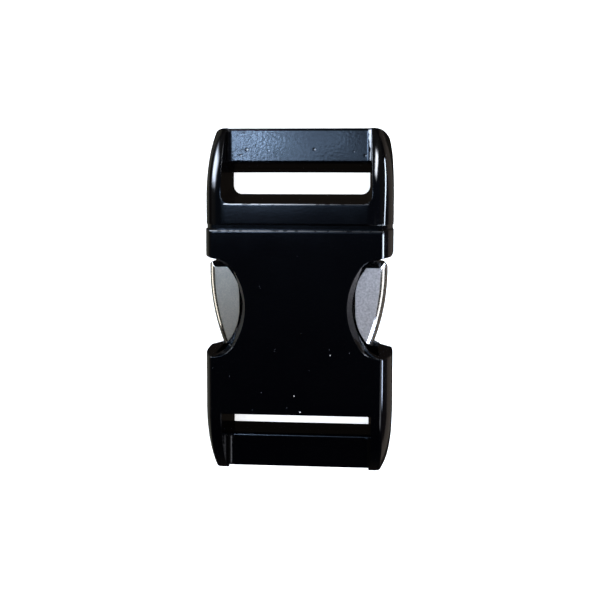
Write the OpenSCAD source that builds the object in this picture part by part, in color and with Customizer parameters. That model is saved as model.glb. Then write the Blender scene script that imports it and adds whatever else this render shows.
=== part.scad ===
// Side-release buckle for 25 mm webbing, fastened and lying on its flat back.
// X runs across the webbing, Y along it towards the plug end, Z up. All sizes are in mm.

/* [Body] */

// length of the fastened buckle
buckle_length = 62.8; // [62:0.2:66]
// width across the widest part of the sides
buckle_width = 35; // [34.6:0.2:37]
// height of the body from its back to its flat top
body_height = 10.5; // [10.2:0.1:11.4]
// radius of the bowed side walls of the plug
plug_bow = 14; // [13:0.5:17]
// radius that rounds the plug's sides into its top
plug_edge = 4; // [3:0.5:4.5]
// radius of the bowed side walls of the socket
socket_bow = 17; // [15:0.5:20]
// radius of the fine rounding along the socket's top
socket_edge = 0.6; // [0.3:0.1:1]
// radius of the two corners of the plug end, seen from above
plug_corner = 3.5; // [2:0.5:4]
// radius of the two corners of the socket end
socket_corner = 4.5; // [3:0.5:5]
// length over which the rails curve down to the plug end
plug_run = 12.9; // [11:0.1:13.2]
// how far the plug rails come down
plug_drop = 5.1; // [4:0.1:5.3]
// length over which the rails curve down to the socket end
socket_run = 11.9; // [10:0.1:12.2]
// how far the socket rails come down
socket_drop = 4.9; // [4:0.1:5.1]
// radius that rounds the top edge of both ends
end_round = 1.1; // [0.6:0.1:1.4]

/* [Webbing slots] */

// width of both webbing slots
slot_width = 26.2; // [25.4:0.1:26.4]
// length of the plug bar at its top
plug_bar = 6.3; // [5.6:0.1:6.6]
// how much longer the plug bar is at the back of the buckle
plug_bar_draft = 1.5; // [1:0.1:1.8]
// height of the plug bar
plug_bar_height = 5; // [4.4:0.1:5.2]
// how far the wall across the plug slot leans
land_draft = 1.9; // [1:0.1:1.9]
// radius of the corners of the plug slot beside the land
land_corner = 1.6; // [0.6:0.1:1.8]
// length of the socket bar
socket_bar = 6.3; // [6:0.1:7]
// height of the socket bar
socket_bar_height = 5; // [4.2:0.1:5.1]
// length of the socket slot
socket_slot = 5.8; // [5:0.1:6.2]
// fine rounding on the edges of the bars and slots
fine_round = 0.5; // [0.3:0.1:0.6]

/* [Joint line] */

// where the plug land begins, measured from the middle of the buckle
joint_y = 14; // [13.9:0.1:14.1]
// length of the plug land, from the joint line to the slot
land_length = 3.6; // [3.4:0.1:4.4]
// gap between the two halves
joint_gap = 0.9; // [0.4:0.05:1]

/* [Socket] */

// thickness of the top and bottom plates
plate = 2; // [1.8:0.1:2.1]
// half width of the hollow inside the ring
mouth_half = 14.6; // [14.5:0.1:14.8]
// end of the hollow, measured from the middle of the buckle
hollow_end = -16; // [-16.5:0.5:-15]
// upper end of the finger scallops, where the ring begins
scallop_top = 8.3; // [8.1:0.1:8.5]
// lower end of the finger scallops
scallop_bottom = -9.2; // [-9.4:0.1:-8.8]
// radius of the corners where the scallops meet the sides of the ring
ring_corner = 1.2; // [0.6:0.1:1.4]
// how far the lower walls of the scallops fall away to the side, in degrees
scallop_fall = 15; // [0:1:20]
// half width left between the scallops at the top surface
waist_half = 8.85; // [8.4:0.05:9]
// how far the bevel round the scallops leans out through the plate
scallop_bevel = 1; // [0.6:0.1:1.1]
// radius of the middle of the scallops
scallop_radius = 11.7; // [11:0.1:13]
// radius where the scallops run out
scallop_end_radius = 4; // [3:0.5:4]

/* [Levers] */

// how far a lever swings when pressed, in degrees
press_angle = 12; // [11:0.5:12]
// distance of each pivot from the middle line
pivot_x = 11.5; // [11.4:0.1:11.6]
// distance of both pivots from the middle of the buckle
pivot_y = 15.4; // [15.3:0.1:15.5]
// radius of the eye round the pivot
eye_radius = 1.8; // [1.6:0.05:1.8]
// thickness of a lever where it shows
lever_thick = 6; // [5.8:0.1:6.1]
// thickness of the arm inside the plug
arm_thick = 4; // [3.6:0.1:4.2]
// outermost reach of the shoulder from the middle line
shoulder_reach = 16.2; // [16:0.1:16.3]
// where the shoulder stands behind the ring
shoulder_y = 7.3; // [6.8:0.1:7.6]
// radius of the long curve of the pressed edge
pad_curve = 36; // [34:0.5:40]
// how far the pressed edge bulges out beyond the flat faces
pad_bulge = 1.5; // [0.8:0.05:1.6]
// inner edge of a lever from the middle line
lever_inner = 10.3; // [10.2:0.1:10.4]
// half length of the straight part of the inner edge
inner_straight = 1.2; // [0.8:0.1:1.6]
// radius of the curves that the inner edge runs out in
inner_curve = 9; // [8.5:0.1:10]
// rounding of the shoulder's corner
shoulder_round = 1.1; // [0.4:0.1:1.2]
// bevel along the top and bottom of the shoulder
shoulder_bevel = 0.9; // [0.3:0.1:1]
// where the tip of a lever ends
tip_y = -7.9; // [-8:0.1:-7.6]

/* [Pins and springs] */

// radius of a pivot pin
pin_radius = 0.9; // [0.8:0.05:0.95]
// outside radius of a spring
spring_radius = 2.2; // [1.8:0.1:2.3]
// thickness of the spring wire
spring_wire = 0.55; // [0.4:0.05:0.6]
// turns of a spring
spring_turns = 5; // [4:1:6]
// where both springs sit along the buckle
spring_y = 1; // [0:0.5:2]

/* [Guide tongue] */

// half width of the guide tongue
tongue_half = 3.5; // [3.2:0.1:3.6]
// end of the guide tongue
tongue_end = -14; // [-14.5:0.5:-12]

/* [Hidden] */

$fn = 96;

plug_end = buckle_length / 2;
socket_end = -buckle_length / 2;
ring_front = joint_y - joint_gap;
slot_half = slot_width / 2;
mid_height = body_height / 2;
hollow_height = body_height - 2 * plate;
far = 60;

// the slot walls
land_edge = joint_y + land_length;
plug_bar_edge = plug_end - plug_bar;
socket_bar_edge = socket_end + socket_bar;
socket_wall = socket_bar_edge + socket_slot;

// the neck and the arms
neck_gap = 0.15;
neck_half = mouth_half - 0.3;
neck_end = 11.8;
ledge_inset = 0.15;
ledge_drop = 1.2;
ledge_front = ring_front + neck_gap;
pocket_gap = 0.15;

// the plug's and the lever's shared pressed edge
pad_face = shoulder_reach - pad_bulge;
pad_centre = [pad_face - pad_curve, 5.9];

black = [0.03, 0.03, 0.05];
nickel = [0.75, 0.75, 0.78];
steel = [0.6, 0.6, 0.62];

function dir(a) = [cos(a), sin(a)];

// part of a disc between two angles less than 180 degrees apart
module pie(c, r, a0, a1) {
    reach = 1.2 * r / cos((a1 - a0) / 2);
    intersection() {
        translate(c) circle(r);
        polygon([c, c + reach * dir(a0), c + reach * dir((a0 + a1) / 2), c + reach * dir(a1)]);
    }
}

// what is cut away to round the corner b between two edges whose outward normals have angles a0 and a1
module corner_cut(b, a0, a1, r) {
    n0 = dir(a0);
    n1 = dir(a1);
    c = b - r * (n0 + n1) / (1 + n0 * n1);
    k = 1.6 * r;
    difference() {
        polygon([c, c + k * n0, c + k * (n0 + n1), c + k * n1]);
        translate(c) circle(r);
    }
}

// a profile given in Y and Z, run across the buckle
module across(half) {
    translate([half, 0, 0]) rotate([0, -90, 0]) rotate([0, 0, 90]) mirror([0, 1, 0])
        linear_extrude(2 * half) children();
}

// the section of a half: flat back, sides bowed to the radius bow, rounded by edge into the flat top
module section(bow, edge) {
    bow_x = buckle_width / 2 - bow;
    bow_z = 1.5;
    rise = body_height - bow_z - edge;
    reach = sqrt((bow - edge) * (bow - edge) - rise * rise);
    c = [bow_x + reach, body_height - edge];
    k = 2 * edge + 1;
    for (side = [0, 1]) mirror([side, 0]) difference() {
        square([buckle_width / 2, body_height]);
        translate([bow_x, bow_z]) difference() {
            square(far);
            circle(bow);
        }
        difference() {
            polygon([c, c + k * dir(atan(rise / reach)), c + [k, k], c + [0, k]]);
            translate(c) circle(edge);
        }
    }
}

// one end, where the section follows the rails' curve down
module end_cap(start, curve, bow, edge) {
    translate([0, start, body_height - curve]) rotate([0, -90, 0]) rotate_extrude(angle = 75)
        translate([curve - body_height, 0]) rotate(-90) section(bow, edge);
}

// rounds the top edge of an end, where the rails' curve meets the end wall
module end_cut(start, run, curve) {
    inner = curve - end_round;
    cy = start + run - end_round;
    cz = body_height - curve + sqrt(inner * inner - (run - end_round) * (run - end_round));
    a = asin((cz - body_height + curve) / inner);
    corner = end_round + 3;
    across(far) difference() {
        polygon([[cy, cz], [cy, cz] + corner * dir(a), [cy + corner, cz + corner], [cy + corner, cz]]);
        translate([cy, cz]) circle(end_round);
    }
}

// the outer form of one half, from start to its end at y = stop, pointing to +Y
module half_form(start, stop, run, drop, bow, edge, corner) {
    curve = (run * run + drop * drop) / (2 * drop);
    half = buckle_width / 2;
    difference() {
        intersection() {
            union() {
                translate([0, stop - run, 0]) rotate([90, 0, 0])
                    linear_extrude(stop - run - start) section(bow, edge);
                end_cap(stop - run, curve, bow, edge);
            }
            linear_extrude(body_height) difference() {
                translate([-half, start]) square([2 * half, stop - start]);
                for (side = [0, 1]) mirror([side, 0]) corner_cut([half, stop], 0, 90, corner);
            }
        }
        end_cut(stop - run, run, curve);
    }
}

// the hollow over a bar between the rails, with a fillet along both rails
module bar_recess(start, floor_z) {
    translate([0, start, 0]) rotate([90, 0, 0]) mirror([0, 0, 1]) linear_extrude(far) difference() {
        translate([-slot_half, floor_z]) square([slot_width, far]);
        for (side = [0, 1]) mirror([side, 0]) corner_cut([slot_half, floor_z], -90, 0, 0.8);
    }
}

// plan of one scallop, with its deepest point at x = deep
module scallop_plan(deep, r) {
    half = (scallop_top - scallop_bottom) / 2;
    cy = (scallop_top + scallop_bottom) / 2;
    e = scallop_end_radius;
    small_x = deep + r - sqrt((r - e) * (r - e) - (half - e) * (half - e));
    big = [deep + r, cy];
    a = asin((half - e) / (r - e));
    upper = big + r * dir(180 - a);
    lower = big + r * dir(180 + a);
    pie(big, r, 180 - a, 180 + a);
    pie([small_x, cy + half - e], e, 90, 180 - a);
    pie([small_x, cy - half + e], e, 180 + a, 270);
    fall_x = mouth_half + 0.5;
    polygon([upper, [small_x, cy + half - e], [small_x, cy + half], [far / 2, cy + half],
             [far / 2, cy - half - (far / 2 - fall_x) * tan(scallop_fall)], [fall_x, cy - half],
             [min(small_x, fall_x - 0.01), cy - half], [small_x, cy - half + e], lower, big]);
}

// the finger scallop of the +X side, a little shallower in the bottom plate and bevelled in the top plate
module scallop() {
    lean = atan(scallop_bevel / plate);
    low_edge = waist_half + scallop_bevel;
    translate([0, 0, plate / 2]) linear_extrude(body_height) scallop_plan(low_edge, scallop_radius);
    translate([0, 0, -1]) linear_extrude(plate + 1) scallop_plan(low_edge + 0.8, scallop_radius);
    below = waist_half * sin(lean) + plate / cos(lean) + 0.3;
    translate([0, 0, body_height]) rotate([0, -lean, 0]) translate([0, 0, -below])
        linear_extrude(below + 6) intersection() {
            scallop_plan(waist_half * cos(lean), scallop_radius / cos(lean));
            translate([0, scallop_bottom + 0.05]) square([far / 2, scallop_top - scallop_bottom - 0.1]);
        }
    translate([0, 0, -1]) linear_extrude(body_height + 2)
        corner_cut([buckle_width / 2, scallop_top], -90, 0, ring_corner);
}

module socket_body() color(black) difference() {
    mirror([0, 1, 0]) half_form(-ring_front, -socket_end, socket_run, socket_drop,
        socket_bow, socket_edge, socket_corner);
    // the hollow that takes the plug
    translate([-mouth_half, hollow_end, plate]) cube([2 * mouth_half, far, hollow_height]);
    translate([-far / 2, scallop_bottom + 0.1, plate])
        cube([far, scallop_top - scallop_bottom - 0.4, hollow_height]);
    for (side = [0, 1]) mirror([side, 0, 0]) scallop();
    // the webbing slot and the hollow over the bar
    translate([-slot_half, socket_bar_edge, -1]) cube([slot_width, socket_slot, body_height + 2]);
    mirror([0, 1, 0]) bar_recess(-socket_bar_edge - 0.01, socket_bar_height);
    across(slot_half) corner_cut([socket_bar_edge, socket_bar_height], 0, 90, fine_round);
    across(slot_half) corner_cut([socket_wall, body_height], 180, 90, fine_round / 2);
    across(slot_half) corner_cut([socket_end, socket_bar_height], 180, 90, fine_round);
    across(far) corner_cut([ring_front, body_height], 0, 90, 0.35);
}

// plan of the arm of a lever, from its eye to the part that shows
module arm_plan() {
    translate([pivot_x, pivot_y]) circle(eye_radius);
    translate([pivot_x - eye_radius, shoulder_y - 2]) square([2 * eye_radius, pivot_y - shoulder_y + 2]);
}

// room for the arm to swing inside the plug
module arm_pocket() {
    inner = pivot_x - eye_radius - pocket_gap;
    outer = pivot_x + eye_radius + pocket_gap;
    front = neck_end - 0.8;
    translate([0, 0, mid_height - arm_thick / 2 - pocket_gap])
        linear_extrude(arm_thick + 2 * pocket_gap) {
            translate([pivot_x, pivot_y]) circle(eye_radius + pocket_gap);
            polygon([[outer, pivot_y], [outer, front],
                     [inner - (pivot_y - front) * tan(press_angle), front], [inner, pivot_y]]);
        }
}

// the ledge that meets the rim of the socket's mouth at the bottom of the groove and closes it from behind
module ledge() {
    bow_x = buckle_width / 2 - plug_bow;
    translate([0, joint_y + 1, 0]) rotate([90, 0, 0]) linear_extrude(joint_y + 1 - ledge_front)
        for (side = [0, 1]) mirror([side, 0]) intersection() {
            translate([bow_x, 1.5]) circle(plug_bow - ledge_inset);
            translate([0, ledge_inset]) square([buckle_width / 2, body_height - ledge_inset - ledge_drop]);
        }
}

module plug_frame() {
    lean = atan(land_draft / body_height);
    color(black) difference() {
        union() {
            half_form(joint_y, plug_end, plug_run, plug_drop, plug_bow, plug_edge, plug_corner);
            // the neck in the mouth of the socket
            translate([-neck_half, neck_end, plate + neck_gap])
                cube([2 * neck_half, joint_y - neck_end + 1, hollow_height - 2 * neck_gap]);
            ledge();
            // the guide tongue
            translate([-tongue_half, tongue_end, plate + neck_gap])
                cube([2 * tongue_half, joint_y - tongue_end + 1, hollow_height - 2 * neck_gap]);
        }
        // the webbing slot, whose wall beside the land leans and has rounded corners
        translate([0, land_edge, body_height]) rotate([lean, 0, 0]) translate([0, 0, -body_height - 2])
            linear_extrude(body_height + 4) difference() {
                translate([-slot_half, 0]) square([slot_width, 3]);
                for (side = [0, 1]) mirror([side, 0]) corner_cut([slot_half, 0], 0, -90, land_corner);
            }
        across(slot_half) polygon([
            [land_edge + land_draft + land_corner + 0.05, -1],
            [plug_bar_edge - plug_bar_draft * (1 + 1 / plug_bar_height), -1],
            [plug_bar_edge, plug_bar_height],
            [plug_bar_edge, body_height + 1],
            [land_edge + land_corner + 0.05, body_height + 1]]);
        bar_recess(plug_bar_edge - 0.01, plug_bar_height);
        across(slot_half) corner_cut([plug_bar_edge, plug_bar_height],
            180 - atan(plug_bar_draft / plug_bar_height), 90, fine_round);
        across(slot_half) corner_cut([plug_end, plug_bar_height], 0, 90, fine_round);
        across(far) corner_cut([joint_y, body_height], 180, 90, fine_round / 2);
        across(slot_half - land_corner) corner_cut([land_edge, body_height], lean, 90, fine_round / 2);
        for (side = [0, 1]) mirror([side, 0, 0]) {
            arm_pocket();
            translate([pivot_x, pivot_y, -1]) cylinder(r = pin_radius + 0.02, h = body_height - 0.2);
        }
    }
}

// plan of the part of a lever between the plates, without its pressed edge
module pad_plan() intersection() {
    translate([lever_inner, tip_y]) square([shoulder_reach + 1 - lever_inner, shoulder_y - tip_y]);
    union() {
        translate([lever_inner, -inner_straight]) square([far, 2 * inner_straight]);
        for (y = [-inner_straight, inner_straight]) translate([lever_inner + inner_curve, y]) circle(inner_curve);
    }
}

// the lever of the +X side
module lever() {
    half = lever_thick / 2;
    bulge_radius = (half * half + pad_bulge * pad_bulge) / (2 * pad_bulge);
    difference() {
        union() {
            translate([0, 0, mid_height - arm_thick / 2]) linear_extrude(arm_thick) arm_plan();
            intersection() {
                translate([0, 0, mid_height - half]) linear_extrude(lever_thick) pad_plan();
                translate([pad_centre[0], pad_centre[1], mid_height]) rotate([0, 0, -30])
                    rotate_extrude(angle = 60) union() {
                        translate([20, -half]) square([pad_curve - 20, lever_thick]);
                        intersection() {
                            translate([pad_curve + pad_bulge - bulge_radius, 0]) circle(bulge_radius);
                            translate([pad_curve - 0.01, -half]) square([5, lever_thick]);
                        }
                    }
            }
        }
        translate([pivot_x, pivot_y, 0]) cylinder(r = pin_radius + 0.05, h = body_height);
        // the rounded corner of the shoulder, and the bevels along its end
        linear_extrude(body_height) corner_cut([shoulder_reach, shoulder_y], 0, 90, shoulder_round);
        for (way = [-1, 1]) across(far / 2) translate([shoulder_y, mid_height + way * half])
            rotate(45) square(sqrt(2) * shoulder_bevel, center = true);
    }
}

module left_lever() color(nickel) mirror([1, 0, 0]) lever();

module right_lever() color(nickel) lever();

module pivot_pin() translate([pivot_x, pivot_y, 0.1]) cylinder(r = pin_radius, h = body_height - 1.4);

module left_pivot_pin() color(steel) mirror([1, 0, 0]) pivot_pin();

module right_pivot_pin() color(steel) pivot_pin();

// the spring of the +X side: a coil of round wire with closed ends
module spring() {
    steps = 14;
    sides = 6;
    n = steps * spring_turns;
    mean = spring_radius - spring_wire / 2;
    from_x = tongue_half + spring_wire / 2 + 0.05;
    to_x = lever_inner - spring_wire / 2 - 0.05;
    rings = [for (i = [0:n]) let (a = 360 * i / steps, x = from_x + (to_x - from_x) * i / n)
        for (j = [0:sides - 1]) let (b = 360 * j / sides, r = mean + spring_wire / 2 * cos(b))
            [x + spring_wire / 2 * sin(b), r * cos(a), r * sin(a)]];
    walls = [for (i = [0:n - 1], j = [0:sides - 1])
        [i * sides + j, i * sides + (j + 1) % sides, (i + 1) * sides + (j + 1) % sides, (i + 1) * sides + j]];
    start_cap = [for (j = [0:sides - 1]) sides - 1 - j];
    end_cap = [for (j = [0:sides - 1]) n * sides + j];
    translate([0, spring_y, mid_height]) polyhedron(rings, concat([start_cap], walls, [end_cap]));
}

module left_spring() color(steel) mirror([1, 0, 0]) spring();

module right_spring() color(steel) spring();

socket_body();
plug_frame();
left_lever();
right_lever();
left_pivot_pin();
right_pivot_pin();
left_spring();
right_spring();
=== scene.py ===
import math
import random

import bpy
from mathutils import Matrix, Vector


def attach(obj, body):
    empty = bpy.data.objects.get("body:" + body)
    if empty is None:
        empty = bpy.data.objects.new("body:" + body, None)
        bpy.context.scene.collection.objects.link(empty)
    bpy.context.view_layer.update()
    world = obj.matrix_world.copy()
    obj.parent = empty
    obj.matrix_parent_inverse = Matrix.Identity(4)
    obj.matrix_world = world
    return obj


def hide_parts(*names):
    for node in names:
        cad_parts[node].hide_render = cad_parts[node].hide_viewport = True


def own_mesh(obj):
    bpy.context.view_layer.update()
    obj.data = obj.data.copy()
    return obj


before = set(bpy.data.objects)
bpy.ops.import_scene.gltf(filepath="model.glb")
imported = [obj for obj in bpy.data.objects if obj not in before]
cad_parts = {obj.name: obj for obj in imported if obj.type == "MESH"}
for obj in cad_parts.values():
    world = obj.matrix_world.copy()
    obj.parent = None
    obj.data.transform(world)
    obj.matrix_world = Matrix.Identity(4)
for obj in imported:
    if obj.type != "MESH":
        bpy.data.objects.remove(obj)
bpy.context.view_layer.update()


# ---- The socket and the plug -------------------------------------------------------------------
# Both halves are zinc die castings. They are tumbled smooth, sprayed with black enamel and baked,
# so each has a deep gloss over a faint orange peel, and the plug is pushed home in the socket.
# Pale lines along some edges and marks beside the craters are painted highlights, drawn as dull zinc.

MM = 0.001


def paint(hex_colour):
    """An sRGB hex colour as linear red, green, blue and alpha."""
    parts = [int(hex_colour[i:i + 2], 16) / 255 for i in (1, 3, 5)]
    return [c / 12.92 if c <= 0.04045 else ((c + 0.055) / 1.055) ** 2.4 for c in parts] + [1.0]


def add(tree, kind, settings=None, **inputs):
    """Adds a node. settings are its own fields; inputs are its sockets, by value or from another node's output."""
    made = tree.nodes.new(kind)
    for field, value in (settings or {}).items():
        setattr(made, field, value)
    for name, value in inputs.items():
        wanted = int(name[1:]) if name[0] == "_" else name.replace("_", " ")
        socket = made.inputs[wanted]
        if isinstance(value, bpy.types.NodeSocket):
            tree.links.new(value, socket)
        else:
            socket.default_value = value
    return made


def in_millimetres(tree):
    """The place on the piece itself in millimetres, so that a pattern's scale is a real size and rides along."""
    place = add(tree, "ShaderNodeTexCoord").outputs["Object"]
    return add(tree, "ShaderNodeVectorMath", {"operation": "SCALE"}, _0=place, Scale=1 / MM).outputs[0]


def new_material(name):
    material = bpy.data.materials.new(name)
    material.use_nodes = True
    material.node_tree.nodes.clear()
    return material, material.node_tree


PEEL_WAVE = 0.55  # mm between the waves of the orange peel
PEEL_HEIGHT = 0.003  # mm
GRIT_WAVE = 0.3  # mm between the finer bumps of the sprayed coat
GRIT_HEIGHT = 0.0008  # mm
EDGE_BREAK = 0.18  # mm that tumbling and paint round off every edge
HANDLED = 11.11  # mm across the patches that handling dulled
GLOSS = (0.07, 0.13)  # roughness as baked and where handled
TOP = 10.5  # mm
BAR_HEIGHT = 5.0  # mm
SLOT_HALF = 13.1  # mm, half the length of the bars
BAR_PEEL = 4.0  # how much rougher the peel is on the bars, where the spray reached worst
LEFT_PEEL = 14.0  # and how much towards the left end of the bars

# small craters where the enamel drew back on the plug's bar, as (x, y, radius, depth) in mm, and how bright the
# painted highlight at their side is, drawn as a speck of bare zinc
CRATERS = [
    (-9.66, 27.5, 0.45, 0.03, 0.6), (2.71, 27.5, 0.4, 0.02, 0.3), (11.95, 26.4, 0.36, 0.02, 0.3),
    (-10.8, 26.4, 0.36, 0.016, 0.4), (9.9, 27.1, 0.3, 0.01, 0.1), (-5.6, 27.3, 0.3, 0.01, 0.15),
]
# painted highlights, drawn as bare zinc: a fine broken line along the slot's edge on the land and along the rim of
# the socket's mouth, brightest at the left end of both, and a strip where the bar's right end meets the rail
LAND_EDGE = 17.6  # mm
RING_EDGE = 12.98  # mm
HIGHLIGHT_LINE_WIDTH = 0.14  # mm
BREAKS = 0.909  # mm between the breaks in the painted highlight lines

# settings that many of the nodes below share
SMOOTH = {"interpolation_type": "SMOOTHSTEP"}
TIMES = {"operation": "MULTIPLY"}
TIMES_PLUS = {"operation": "MULTIPLY_ADD"}
PLUS = {"operation": "ADD"}
MINUS = {"operation": "SUBTRACT"}
UNSIGNED = {"operation": "ABSOLUTE"}
LARGER = {"operation": "MAXIMUM"}


def enamel(name, craters, highlight_line_y, highlight_strengths, bar_end_highlight):
    """Baked black enamel: near-black with a trace of blue, a sharp gloss, and waves that bend reflections a little.
    Highlights are also painted on it in a pale dull zinc: beside the craters, along one edge, and at the bar's end.
    """
    material, tree = new_material(name)
    place = in_millimetres(tree)
    x, y, z = add(tree, "ShaderNodeSeparateXYZ", _0=place).outputs
    across = add(tree, "ShaderNodeMath", UNSIGNED, _0=x).outputs[0]

    # the orange peel and the finer bumps, both rougher on the bars
    peel = add(tree, "ShaderNodeTexNoise", Vector=place, Scale=1 / PEEL_WAVE, Detail=1.5, Roughness=0.4).outputs[0]
    grit = add(tree, "ShaderNodeTexNoise", Vector=place, Scale=1 / GRIT_WAVE, Detail=1.0, Roughness=0.5).outputs[0]
    waves = add(tree, "ShaderNodeMath", TIMES, _0=peel, _1=PEEL_HEIGHT).outputs[0]
    height = add(tree, "ShaderNodeMath", TIMES_PLUS, _0=grit, _1=GRIT_HEIGHT, _2=waves).outputs[0]
    low = (z, BAR_HEIGHT + 0.3, BAR_HEIGHT + 1.0, 1.0, 0.0)
    between_rails = (across, SLOT_HALF - 0.1, SLOT_HALF, 1.0, 0.0)
    rougher = add(tree, "ShaderNodeMapRange", SMOOTH, Value=x, _1=-12.0, _2=-3.0, _3=LEFT_PEEL - 1,
                  _4=BAR_PEEL - 1).outputs[0]
    for value, start, stop, before, after in (low, between_rails):
        mask = add(tree, "ShaderNodeMapRange", SMOOTH, Value=value, _1=start, _2=stop, _3=before, _4=after).outputs[0]
        rougher = add(tree, "ShaderNodeMath", TIMES, _0=rougher, _1=mask).outputs[0]
    rougher = add(tree, "ShaderNodeMath", PLUS, _0=rougher, _1=1.0).outputs[0]
    height = add(tree, "ShaderNodeMath", TIMES, _0=height, _1=rougher).outputs[0]

    # the craters, each with a painted highlight on its right side, drawn as bare zinc
    bare = 0.0
    for at_x, at_y, radius, depth, painted_glint in craters:
        away = add(tree, "ShaderNodeVectorMath", {"operation": "DISTANCE"}, _0=place,
                   _1=(at_x, at_y, BAR_HEIGHT)).outputs["Value"]
        dip = add(tree, "ShaderNodeMapRange", SMOOTH, Value=away, _1=0.0, _2=radius, _3=-depth, _4=0.0).outputs[0]
        height = add(tree, "ShaderNodeMath", PLUS, _0=height, _1=dip).outputs[0]
        beside = add(tree, "ShaderNodeVectorMath", {"operation": "DISTANCE"}, _0=place,
                     _1=(at_x + 0.5 * radius, at_y, BAR_HEIGHT)).outputs["Value"]
        painted_glint_mask = add(tree, "ShaderNodeMapRange", SMOOTH, Value=beside, _1=0.2 * radius, _2=0.5 * radius, _3=painted_glint,
                    _4=0.0).outputs[0]
        bare = add(tree, "ShaderNodeMath", LARGER, _0=bare, _1=painted_glint_mask).outputs[0]

    # painted highlights drawn as bare zinc, in a fine broken line along the edge and in a ragged strip at the bar's
    # right end: each place is a list of smooth steps (value, start, stop, before, after) that are multiplied
    off = add(tree, "ShaderNodeMath", MINUS, _0=y, _1=highlight_line_y).outputs[0]
    off = add(tree, "ShaderNodeMath", UNSIGNED, _0=off).outputs[0]
    broken = add(tree, "ShaderNodeTexNoise", Vector=place, Scale=1 / BREAKS, Detail=2.0).outputs[0]
    line = [(off, 0.5 * HIGHLIGHT_LINE_WIDTH, HIGHLIGHT_LINE_WIDTH, 1.0, 0.0), (z, TOP - 0.4, TOP - 0.2, 0.0, 1.0),
            (x, -11.0, 10.0, *highlight_strengths), (broken, 0.36, 0.5, 0.3, 1.0)]
    painted_highlight_places = [line]
    # on the plug, a painted highlight at the bar's right end, beside the rail
    if bar_end_highlight:
        line.append((across, SLOT_HALF - 0.8, SLOT_HALF - 0.4, 1.0, 0.0))
        narrower = add(tree, "ShaderNodeMapRange", SMOOTH, Value=y, _1=26.5, _2=30.0, _3=0.34, _4=0.0).outputs[0]
        ragged = add(tree, "ShaderNodeMath", TIMES_PLUS, _0=broken, _1=0.8, _2=x).outputs[0]
        ragged = add(tree, "ShaderNodeMath", MINUS, _0=ragged, _1=narrower).outputs[0]
        painted_highlight_places.append([(ragged, SLOT_HALF - 0.16, SLOT_HALF - 0.06, 0.0, 1.0), (y, 25.6, 28.5, 0.55, 0.95),
                            (y, 30.9, 31.2, 1.0, 0.0), (y, 25.4, 25.6, 0.0, 1.0), low, between_rails])
    for steps in painted_highlight_places:
        highlight_mask = 1.0
        for value, start, stop, before, after in steps:
            mask = add(tree, "ShaderNodeMapRange", SMOOTH, Value=value, _1=start, _2=stop, _3=before,
                       _4=after).outputs[0]
            highlight_mask = add(tree, "ShaderNodeMath", TIMES, _0=highlight_mask, _1=mask).outputs[0]
        bare = add(tree, "ShaderNodeMath", LARGER, _0=bare, _1=highlight_mask).outputs[0]

    edges = add(tree, "ShaderNodeBevel", {"samples": 6}, Radius=EDGE_BREAK * MM).outputs[0]
    bumped = add(tree, "ShaderNodeBump", Height=height, Distance=MM, Normal=edges).outputs[0]
    handled = add(tree, "ShaderNodeTexNoise", Vector=place, Scale=1 / HANDLED, Detail=3.0, Roughness=0.6).outputs[0]
    gloss = add(tree, "ShaderNodeMapRange", Value=handled, _1=0.3, _2=0.7, _3=GLOSS[0], _4=GLOSS[1]).outputs[0]
    coat = add(tree, "ShaderNodeBsdfPrincipled", Base_Color=paint("#010102"), Roughness=gloss, IOR=1.5, Normal=bumped)
    # the pale zinc that paints the highlights is dull and partly covered, so it is only in part a metal to the eye
    zinc = add(tree, "ShaderNodeBsdfPrincipled", Base_Color=paint("#d6dadf"), Metallic=0.3, Roughness=0.5,
               Normal=bumped)
    surface = add(tree, "ShaderNodeMixShader", _0=bare, _1=coat.outputs[0], _2=zinc.outputs[0])
    add(tree, "ShaderNodeOutputMaterial", Surface=surface.outputs[0])
    return material


def finish(node, material):
    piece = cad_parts[node]
    piece.data.materials.clear()
    piece.data.materials.append(material)
    return piece


# painted highlights: a line along the socket's rim, and on the plug a line along the land, marks at the craters and at
# the bar's end
finish("socket_body", enamel("baked black enamel", [], RING_EDGE, (0.3, 0.04), False))
finish("plug_frame", enamel("baked black enamel with craters", CRATERS, LAND_EDGE, (0.95, 0.05), True))


# ---- Specks on the socket ----------------------------------------------------------------------
# Dust and a few fibres that settled on the wet enamel and baked in. They are grey or pale, less
# than half a millimetre long, and stand just proud of the flat top.

SPECK_FOOT = -0.02  # mm from the flat top to the rim of a speck, which sits in the enamel
SPECK_DOME = 0.07  # mm from its rim to its middle
SPECK_RAGGED = 0.18  # how far its outline strays
SPECK_BLOTCH = 0.2  # mm
RINGS, SIDES = 3, 8
# (x, y, length, width) in mm, the turn in degrees, and whether it is pale
SPECKS = [
    (-3.58, -7.6, 0.4, 0.08, 60, False), (-3.72, -7.95, 0.26, 0.07, 150, False), (5.85, -7.5, 0.24, 0.1, 80, False),
    (6.02, -8.5, 0.26, 0.17, 90, True), (9.34, -8.1, 0.34, 0.08, 55, False), (2.36, -11.25, 0.14, 0.1, 20, False),
    (-14.55, -11.1, 0.22, 0.1, 80, False), (-11.6, -12.5, 0.3, 0.1, 75, False), (-6.0, -15.3, 0.26, 0.1, 60, False),
    (-0.26, -15.8, 0.28, 0.2, 90, True), (-1.5, -17.9, 0.22, 0.09, 10, False), (-7.6, -18.4, 0.24, 0.09, 80, False),
    (0.79, -18.62, 0.3, 0.26, 0, True), (-6.3, 3.3, 0.4, 0.05, 110, False), (-6.15, 3.0, 0.24, 0.05, 20, False),
    (0.9, -4.8, 0.16, 0.1, 30, False), (0.26, 8.7, 0.12, 0.06, 0, False),
]


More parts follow.
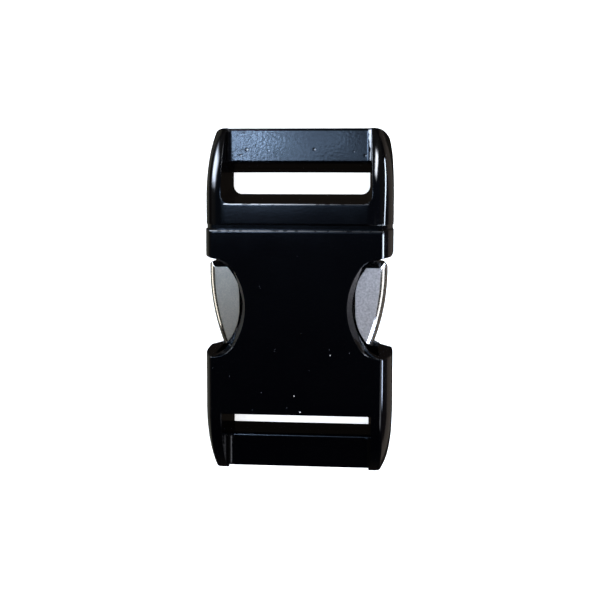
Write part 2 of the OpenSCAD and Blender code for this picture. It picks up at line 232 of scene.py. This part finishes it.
def dust(name, dark, pale):
    """Dry, blotched dust without a gloss."""
    material, tree = new_material(name)
    blotch = add(tree, "ShaderNodeTexNoise", Vector=in_millimetres(tree), Scale=1 / SPECK_BLOTCH,
                 Detail=2.0).outputs[0]
    colour = add(tree, "ShaderNodeMix", {"data_type": "RGBA"}, Factor=blotch, _6=paint(dark), _7=paint(pale))
    surface = add(tree, "ShaderNodeBsdfPrincipled", Base_Color=colour.outputs[2], Roughness=0.6, IOR=1.5)
    add(tree, "ShaderNodeOutputMaterial", Surface=surface.outputs[0])
    return material


random.seed(7)
points, faces, pale_faces = [], [], []
for x, y, length, width, turn, pale in SPECKS:
    base = len(points)
    c, s = math.cos(math.radians(turn)), math.sin(math.radians(turn))
    points.append((x, y, TOP + SPECK_FOOT + SPECK_DOME))
    for ring in range(1, RINGS + 1):
        out = ring / RINGS
        for side in range(SIDES):
            angle = math.tau * side / SIDES
            ragged = 1 + random.uniform(-SPECK_RAGGED, SPECK_RAGGED)
            along = length / 2 * out * ragged * math.cos(angle)
            across = width / 2 * out * ragged * math.sin(angle)
            points.append((x + along * c - across * s, y + along * s + across * c,
                           TOP + SPECK_FOOT + SPECK_DOME * math.sqrt(1 - out * out)))
    speck = []
    for side in range(SIDES):
        following = (side + 1) % SIDES
        speck.append((base, base + 1 + side, base + 1 + following))
        for ring in range(RINGS - 1):
            a = base + 1 + ring * SIDES
            b = a + SIDES
            speck.append((a + side, b + side, b + following, a + following))
    speck.append([base + 1 + (RINGS - 1) * SIDES + side for side in reversed(range(SIDES))])
    faces += speck
    pale_faces += [int(pale)] * len(speck)


def mesh_piece(name, points_mm, faces, material, body):
    """A smooth mesh piece from points in mm, that rides on a body."""
    mesh = bpy.data.meshes.new(name)
    mesh.from_pydata([Vector(p) * MM for p in points_mm], [], faces)
    mesh.materials.append(material)
    mesh.polygons.foreach_set("use_smooth", [True] * len(mesh.polygons))
    mesh.update()
    piece = bpy.data.objects.new(name, mesh)
    bpy.context.scene.collection.objects.link(piece)
    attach(piece, body)
    return piece


specks = mesh_piece("enamel_specks", points, faces, dust("dust under the enamel", "#26282c", "#4c4f54"),
                    "fastened_body")
specks.data.materials.append(dust("bare dust", "#8f9092", "#e2e2e0"))
specks.data.polygons.foreach_set("material_index", pale_faces)


# ---- The pivot pins ----------------------------------------------------------------------------
# Each lever turns on a short pin of drawn steel wire, pressed into the plug from below. Fine lines
# from drawing run along it, and it is grey and half bright.

DRAWN_LINE = 0.111  # mm between the lines
DRAWN_STRETCH = 0.05  # how much slower the pattern runs along the pin than round it
material, tree = new_material("drawn steel")
place = in_millimetres(tree)
stretched = add(tree, "ShaderNodeVectorMath", TIMES, _0=place, _1=(1.0, 1.0, DRAWN_STRETCH)).outputs[0]
drawn = add(tree, "ShaderNodeTexNoise", Vector=stretched, Scale=1 / DRAWN_LINE, Detail=2.0).outputs[0]
bumped = add(tree, "ShaderNodeBump", Height=drawn, Distance=0.004 * MM).outputs[0]
surface = add(tree, "ShaderNodeBsdfPrincipled", Base_Color=paint("#b4b3b0"), Metallic=1.0, Roughness=0.32,
              Normal=bumped)
add(tree, "ShaderNodeOutputMaterial", Surface=surface.outputs[0])
for side in ("left", "right"):
    finish(f"{side}_pivot_pin", material)


# ---- The springs -------------------------------------------------------------------------------
# Each lever is pushed out by a coil of bright spring wire that stands between it and the plug's
# guide tongue. Its end turns are closed up. It is built at one length and rides on the fastened body.

COIL_RADIUS = 1.925  # mm to the middle of the wire
WIRE_RADIUS = 0.275  # mm
TURNS = 5.0
CLOSED_TURNS = 0.9  # at each end, that lie against the next
COIL_MIDDLE = (1.0, 5.25)  # mm in Y and Z
COIL_START, COIL_END = 3.83, 9.97  # mm from the middle line, at the wire's middle
STEPS, WIRE_SIDES = 36, 12
CLOSED_LENGTH = 2 * WIRE_RADIUS * CLOSED_TURNS
OPEN_PITCH = (COIL_END - COIL_START - 2 * CLOSED_LENGTH) / (TURNS - 2 * CLOSED_TURNS)

material, tree = new_material("bright spring wire")
surface = add(tree, "ShaderNodeBsdfPrincipled", Base_Color=paint("#bdbcb9"), Metallic=1.0, Roughness=0.22)
add(tree, "ShaderNodeOutputMaterial", Surface=surface.outputs[0])

for side, sign in (("left", -1), ("right", 1)):
    points, faces = [], []
    count = int(TURNS * STEPS)
    for i in range(count + 1):
        turn = i / STEPS
        if turn < CLOSED_TURNS:
            x = COIL_START + 2 * WIRE_RADIUS * turn
        elif turn > TURNS - CLOSED_TURNS:
            x = COIL_END - 2 * WIRE_RADIUS * (TURNS - turn)
        else:
            x = COIL_START + CLOSED_LENGTH + OPEN_PITCH * (turn - CLOSED_TURNS)
        angle = math.tau * turn
        for j in range(WIRE_SIDES):
            round_wire = math.tau * j / WIRE_SIDES
            r = COIL_RADIUS + WIRE_RADIUS * math.cos(round_wire)
            points.append((sign * (x + WIRE_RADIUS * math.sin(round_wire)), COIL_MIDDLE[0] + r * math.cos(angle),
                           COIL_MIDDLE[1] + r * math.sin(angle)))
    for i in range(count):
        for j in range(WIRE_SIDES):
            a, b = i * WIRE_SIDES, (i + 1) * WIRE_SIDES
            k = (j + 1) % WIRE_SIDES
            quad = (a + j, a + k, b + k, b + j)
            faces.append(quad if sign > 0 else quad[::-1])
    cap = list(range(WIRE_SIDES))
    faces.append(cap[::-1] if sign > 0 else cap)
    cap = [count * WIRE_SIDES + j for j in range(WIRE_SIDES)]
    faces.append(cap if sign > 0 else cap[::-1])
    coil = mesh_piece(f"{side}_coil", points, faces, material, "fastened_body")
    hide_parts(f"{side}_spring")
    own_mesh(coil)


# ---- The levers --------------------------------------------------------------------------------
# Each lever is a zinc casting plated with nickel. Its flat faces keep a fine matte grain from
# tumbling, and the edge that the finger presses is polished bright.

LEVER_EDGE = 0.2  # mm that tumbling rounds off every edge
GRAIN_HEIGHT = 0.012  # mm
CLOUD = 1.43  # mm across the patches that are a little lighter or darker
POLISH = 0.16  # roughness of the pressed edge
POLISHED = "#d6d2cd"


def nickel(name, face_colour, face_gloss, face_metal, grain_size, contrast):
    """Nickel plate: a warm light grey metal, matte and finely grained on flat faces, bright on the rounded ones."""
    material, tree = new_material(name)
    place = in_millimetres(tree)
    upright = add(tree, "ShaderNodeSeparateXYZ", _0=add(tree, "ShaderNodeNewGeometry").outputs["Normal"]).outputs[2]
    upright = add(tree, "ShaderNodeMath", UNSIGNED, _0=upright).outputs[0]
    flat = add(tree, "ShaderNodeMapRange", Value=upright, _1=0.97, _2=0.995, _3=0.0, _4=1.0).outputs[0]
    grain = add(tree, "ShaderNodeTexNoise", Vector=place, Scale=1 / grain_size, Detail=2.0, Roughness=0.6).outputs[0]
    cloud = add(tree, "ShaderNodeTexNoise", Vector=place, Scale=1 / CLOUD, Detail=2.0).outputs[0]
    speckle = add(tree, "ShaderNodeMapRange", Value=grain, _1=0.3, _2=0.7, _3=1 - contrast,
                  _4=1 + contrast).outputs[0]
    drift = add(tree, "ShaderNodeMapRange", Value=cloud, _1=0.3, _2=0.7, _3=0.95, _4=1.04).outputs[0]
    shade = add(tree, "ShaderNodeMath", TIMES, _0=speckle, _1=drift).outputs[0]
    matte = add(tree, "ShaderNodeVectorMath", {"operation": "SCALE"}, _0=paint(face_colour)[:3],
                Scale=shade).outputs[0]
    colour = add(tree, "ShaderNodeMix", {"data_type": "RGBA"}, Factor=flat, _6=paint(POLISHED), _7=matte).outputs[2]
    gloss = add(tree, "ShaderNodeMapRange", Value=flat, _1=0.0, _2=1.0, _3=POLISH, _4=face_gloss).outputs[0]
    rough = add(tree, "ShaderNodeMath", TIMES, _0=grain, _1=flat).outputs[0]
    edges = add(tree, "ShaderNodeBevel", {"samples": 6}, Radius=LEVER_EDGE * MM).outputs[0]
    bumped = add(tree, "ShaderNodeBump", Height=rough, Distance=GRAIN_HEIGHT * MM, Normal=edges).outputs[0]
    metal = add(tree, "ShaderNodeMapRange", Value=flat, _1=0.0, _2=1.0, _3=1.0, _4=face_metal).outputs[0]
    surface = add(tree, "ShaderNodeBsdfPrincipled", Base_Color=colour, Metallic=metal, Roughness=gloss, Normal=bumped)
    add(tree, "ShaderNodeOutputMaterial", Surface=surface.outputs[0])
    return material


# the grain is drawn coarser than real so that it shows. The levers share one finish; the right one's face gets another
# tone and less metal, so it shows lighter than the left's: painted light and shade
finish("left_lever", nickel("tumbled nickel plate", "#cdbea9", 0.33, 0.94, 0.16, 0.15))
finish("right_lever", nickel("coarsely grained nickel plate, painted lighter", "#bbb7b8", 0.36, 0.78, 0.34, 0.24))


# ---- The light table ---------------------------------------------------------------------------
# The buckle lies on the lit white top of a light table, so next to no shadow shows. Only the
# camera and the matte surfaces meet it: the gloss of the enamel mirrors the dim room instead.

material, tree = new_material("opal acrylic")
lit = add(tree, "ShaderNodeBsdfPrincipled", Base_Color=paint("#e6e6e6"), Roughness=0.8,
          Emission_Color=paint("#ffffff"), Emission_Strength=0.62)
add(tree, "ShaderNodeOutputMaterial", Surface=lit.outputs[0])

TABLE_HALF = 1.5  # m
TABLE_DROP = 0.02  # mm below the buckle's back, so that the two faces stay apart
top = bpy.data.meshes.new("light_table")
top.from_pydata([(-TABLE_HALF, -TABLE_HALF, 0), (TABLE_HALF, -TABLE_HALF, 0), (TABLE_HALF, TABLE_HALF, 0),
                 (-TABLE_HALF, TABLE_HALF, 0)], [], [(0, 1, 2, 3)])
top.materials.append(material)
floor = bpy.data.objects.new("light_table", top)
floor.location.z = -TABLE_DROP * MM
floor.visible_glossy = False
floor.visible_shadow = False
bpy.context.scene.collection.objects.link(floor)


# ---- The light ---------------------------------------------------------------------------------
# A big soft overhead light whitens the table. Windows draw the long highlights on the rails, a
# ceiling panel and a cloudy lamp show in the plug's bar, a pale wall shows in the right scallop, and
# small cards beside the buckle draw the thin lines on its right side and on the levers' edges.

def light(name, place_mm, aim_mm, size_mm, watts, colour, glossy=True, soft=0.0, patches=None, turn=0.0):
    """A panel. soft is how much of it fades towards its edges. patches is how many clouds it is wide, with the
    brightness between them and in them. turn is how far it is turned in its own plane, in degrees."""
    lamp = bpy.data.lights.new(name, "AREA")
    lamp.shape = "RECTANGLE"
    lamp.size, lamp.size_y = size_mm[0] * MM, size_mm[1] * MM
    lamp.energy = watts
    lamp.color = paint(colour)[:3]
    if soft:
        lamp.use_nodes = True
        tree = lamp.node_tree
        tree.nodes.clear()
        spot = add(tree, "ShaderNodeNewGeometry").outputs["Parametric"]
        strength = 1.0
        for way in (0, 1):
            across = add(tree, "ShaderNodeSeparateXYZ", _0=spot).outputs[way]
            off = add(tree, "ShaderNodeMath", MINUS, _0=across, _1=0.5).outputs[0]
            off = add(tree, "ShaderNodeMath", UNSIGNED, _0=off).outputs[0]
            fade = add(tree, "ShaderNodeMapRange", SMOOTH, Value=off, _1=0.5 - soft / 2, _2=0.5, _3=1.0,
                       _4=0.0).outputs[0]
            strength = add(tree, "ShaderNodeMath", TIMES, _0=fade, _1=strength).outputs[0]
        if patches:
            count, between, within = patches
            cloud = add(tree, "ShaderNodeTexNoise", Vector=spot, Scale=count, Detail=1.0).outputs[0]
            cloud = add(tree, "ShaderNodeMapRange", Value=cloud, _1=0.35, _2=0.65, _3=between, _4=within).outputs[0]
            strength = add(tree, "ShaderNodeMath", TIMES, _0=cloud, _1=strength).outputs[0]
        glow = add(tree, "ShaderNodeEmission", Strength=strength).outputs[0]
        add(tree, "ShaderNodeOutputLight", Surface=glow)
    holder = bpy.data.objects.new(name, lamp)
    bpy.context.scene.collection.objects.link(holder)
    holder.location = Vector(place_mm) * MM
    facing = (Vector(aim_mm) - Vector(place_mm)).to_track_quat("-Z", "Y").to_matrix()
    holder.rotation_euler = (facing @ Matrix.Rotation(math.radians(turn), 3, "Z")).to_euler()
    holder.visible_glossy = glossy
    holder.visible_camera = False
    return holder


def radiance(value, size_mm):
    """The watts that give a panel of this size that brightness, where the white table is about 1."""
    return value * math.pi * size_mm[0] * size_mm[1] * MM * MM


def panel(name, azimuth, elevation, distance, size, value, colour, glossy=True, soft=0.0, turn=0.0):
    """A panel facing the buckle. Azimuth is from +Y towards +X, in degrees."""
    a, e = math.radians(azimuth), math.radians(elevation)
    place = (distance * math.sin(a) * math.cos(e), distance * math.cos(a) * math.cos(e), distance * math.sin(e))
    return light(name, place, (0, 0, 5), size, radiance(value, size), colour, glossy, soft, turn=turn)


panel("soft_top", 0, 90, 600, (900, 900), 2.6, "#ffffff", glossy=False)
panel("window_left", -66, 2, 700, (420, 470), 20.0, "#dfebff", soft=0.7)
panel("window_right", 51, 23, 700, (455, 180), 28.0, "#eef4ff", soft=0.6, turn=-62)
panel("window_far", -24, 28, 700, (400, 420), 5.0, "#f2f6ff", soft=0.8)
panel("pale_wall", 116, 37, 700, (470, 330), 0.58, "#eef0f6", soft=0.25)
panel("window_high_right", 138, 52, 700, (320, 260), 3.0, "#e8ecf8", soft=0.6)
light("ceiling_panel", (-190, 85, 500), (-190, 85, 0), (660, 170), radiance(7.0, (660, 170)), "#b0d3ff", soft=1.0,
      patches=(20.0, 0.1, 1.9))
light("ceiling_lamp", (-120, 85, 499), (-120, 85, 0), (150, 150), radiance(11.0, (150, 150)), "#b8d6ff", soft=1.0,
      patches=(9.0, -1.7, 3.8))
light("card_right", (29, 21.5, 2.6), (16, 21.5, 8), (19, 1.4), radiance(22.0, (19, 1.4)), "#dcecff", turn=-15)
light("card_ring", (29, 8.6, 10), (16, 8.6, 10), (6, 16), radiance(22.0, (6, 16)), "#dcebff")
light("card_socket", (29, -17, 9), (16, -17, 9), (15, 12), radiance(20.0, (15, 12)), "#cfe0ff", soft=0.6)
light("card_lever_right", (29.5, -3.5, 4.6), (16, -3.5, 5.5), (17, 3.2), radiance(2.6, (17, 3.2)), "#fbfdff")
light("card_lever_left", (-30, -3.5, 0.6), (-16, -3.5, 6), (17, 3), radiance(2.2, (17, 3)), "#fffdf2")
light("table_glow_left", (-21, 0, 0.5), (-17, 0, 4), (76, 4), radiance(0.35, (76, 4)), "#8f9186")
light("table_glow", (21, 0, 0.5), (17, 0, 4), (76, 4), radiance(0.4, (76, 4)), "#9a9088")

# the room: a pale band along the horizon, dim above it and least so towards the top, nearly black below, and
# plain and pale where only the camera looks
world = bpy.data.worlds.new("room")
world.use_nodes = True
tree = world.node_tree
tree.nodes.clear()
ray = add(tree, "ShaderNodeSeparateXYZ", _0=add(tree, "ShaderNodeTexCoord").outputs["Generated"])
far_side = add(tree, "ShaderNodeMapRange", Value=ray.outputs[1], _1=-0.45, _2=0.1, _3=0.0, _4=1.0).outputs[0]
upper = add(tree, "ShaderNodeMix", {"data_type": "RGBA"}, Factor=far_side, _6=paint("#080a0d"), _7=paint("#353e4a"))
above = add(tree, "ShaderNodeMapRange", Value=ray.outputs[2], _1=-0.15, _2=0.05, _3=0.0, _4=1.0).outputs[0]
room = add(tree, "ShaderNodeMix", {"data_type": "RGBA"}, Factor=above, _6=paint("#231f1b"), _7=upper.outputs[2])
rising = add(tree, "ShaderNodeMapRange", SMOOTH, Value=ray.outputs[2], _1=-0.3, _2=-0.1, _3=0.0, _4=1.0).outputs[0]
falling = add(tree, "ShaderNodeMapRange", SMOOTH, Value=ray.outputs[2], _1=0.2, _2=0.42, _3=1.0, _4=0.0).outputs[0]
towards_plug = add(tree, "ShaderNodeMapRange", Value=ray.outputs[1], _1=-0.7, _2=-0.1, _3=0.1, _4=1.0).outputs[0]
band = add(tree, "ShaderNodeMath", TIMES, _0=rising, _1=falling).outputs[0]
band = add(tree, "ShaderNodeMath", TIMES, _0=band, _1=towards_plug).outputs[0]
walls = add(tree, "ShaderNodeMix", {"data_type": "RGBA"}, Factor=band, _6=room.outputs[2], _7=paint("#4a4a48"))
seen = add(tree, "ShaderNodeLightPath").outputs["Is Camera Ray"]
backdrop = add(tree, "ShaderNodeMix", {"data_type": "RGBA"}, Factor=seen, _6=walls.outputs[2], _7=paint("#e9ebee"))
add(tree, "ShaderNodeOutputWorld",
    Surface=add(tree, "ShaderNodeBackground", Color=backdrop.outputs[2], Strength=1.0).outputs[0])
bpy.context.scene.world = world
bpy.context.scene.view_settings.view_transform = "Standard"
bpy.context.scene.view_settings.look = "None"


# ---- The camera --------------------------------------------------------------------------------
# A phone held a hand's width above the table, over the right half of the plug. It looks nearly
# straight down, and so near that the buckle's lower edges show beside its upper ones.

SENSOR, LENS = 36.0, 30.293  # mm
CAMERA_PLACE = (9.189, 18.231, 96.743)  # mm
CAMERA_RIGHT = (0.999, 0.00399, -0.04443)
CAMERA_UP = (-0.00585, 0.99911, -0.04179)
CAMERA_SHIFT = (-0.045, -0.13)

lens = bpy.data.cameras.new("camera")
lens.sensor_width = SENSOR
lens.lens = LENS
lens.shift_x, lens.shift_y = CAMERA_SHIFT
lens.clip_start, lens.clip_end = 0.005, 10.0
camera = bpy.data.objects.new("camera", lens)
bpy.context.scene.collection.objects.link(camera)
right = Vector(CAMERA_RIGHT).normalized()
up = (Vector(CAMERA_UP) - right * right.dot(Vector(CAMERA_UP))).normalized()
back = right.cross(up)
camera.matrix_world = (Matrix.Translation(Vector(CAMERA_PLACE) * MM)
                       @ Matrix((right, up, back)).transposed().to_4x4())
bpy.context.scene.camera = camera
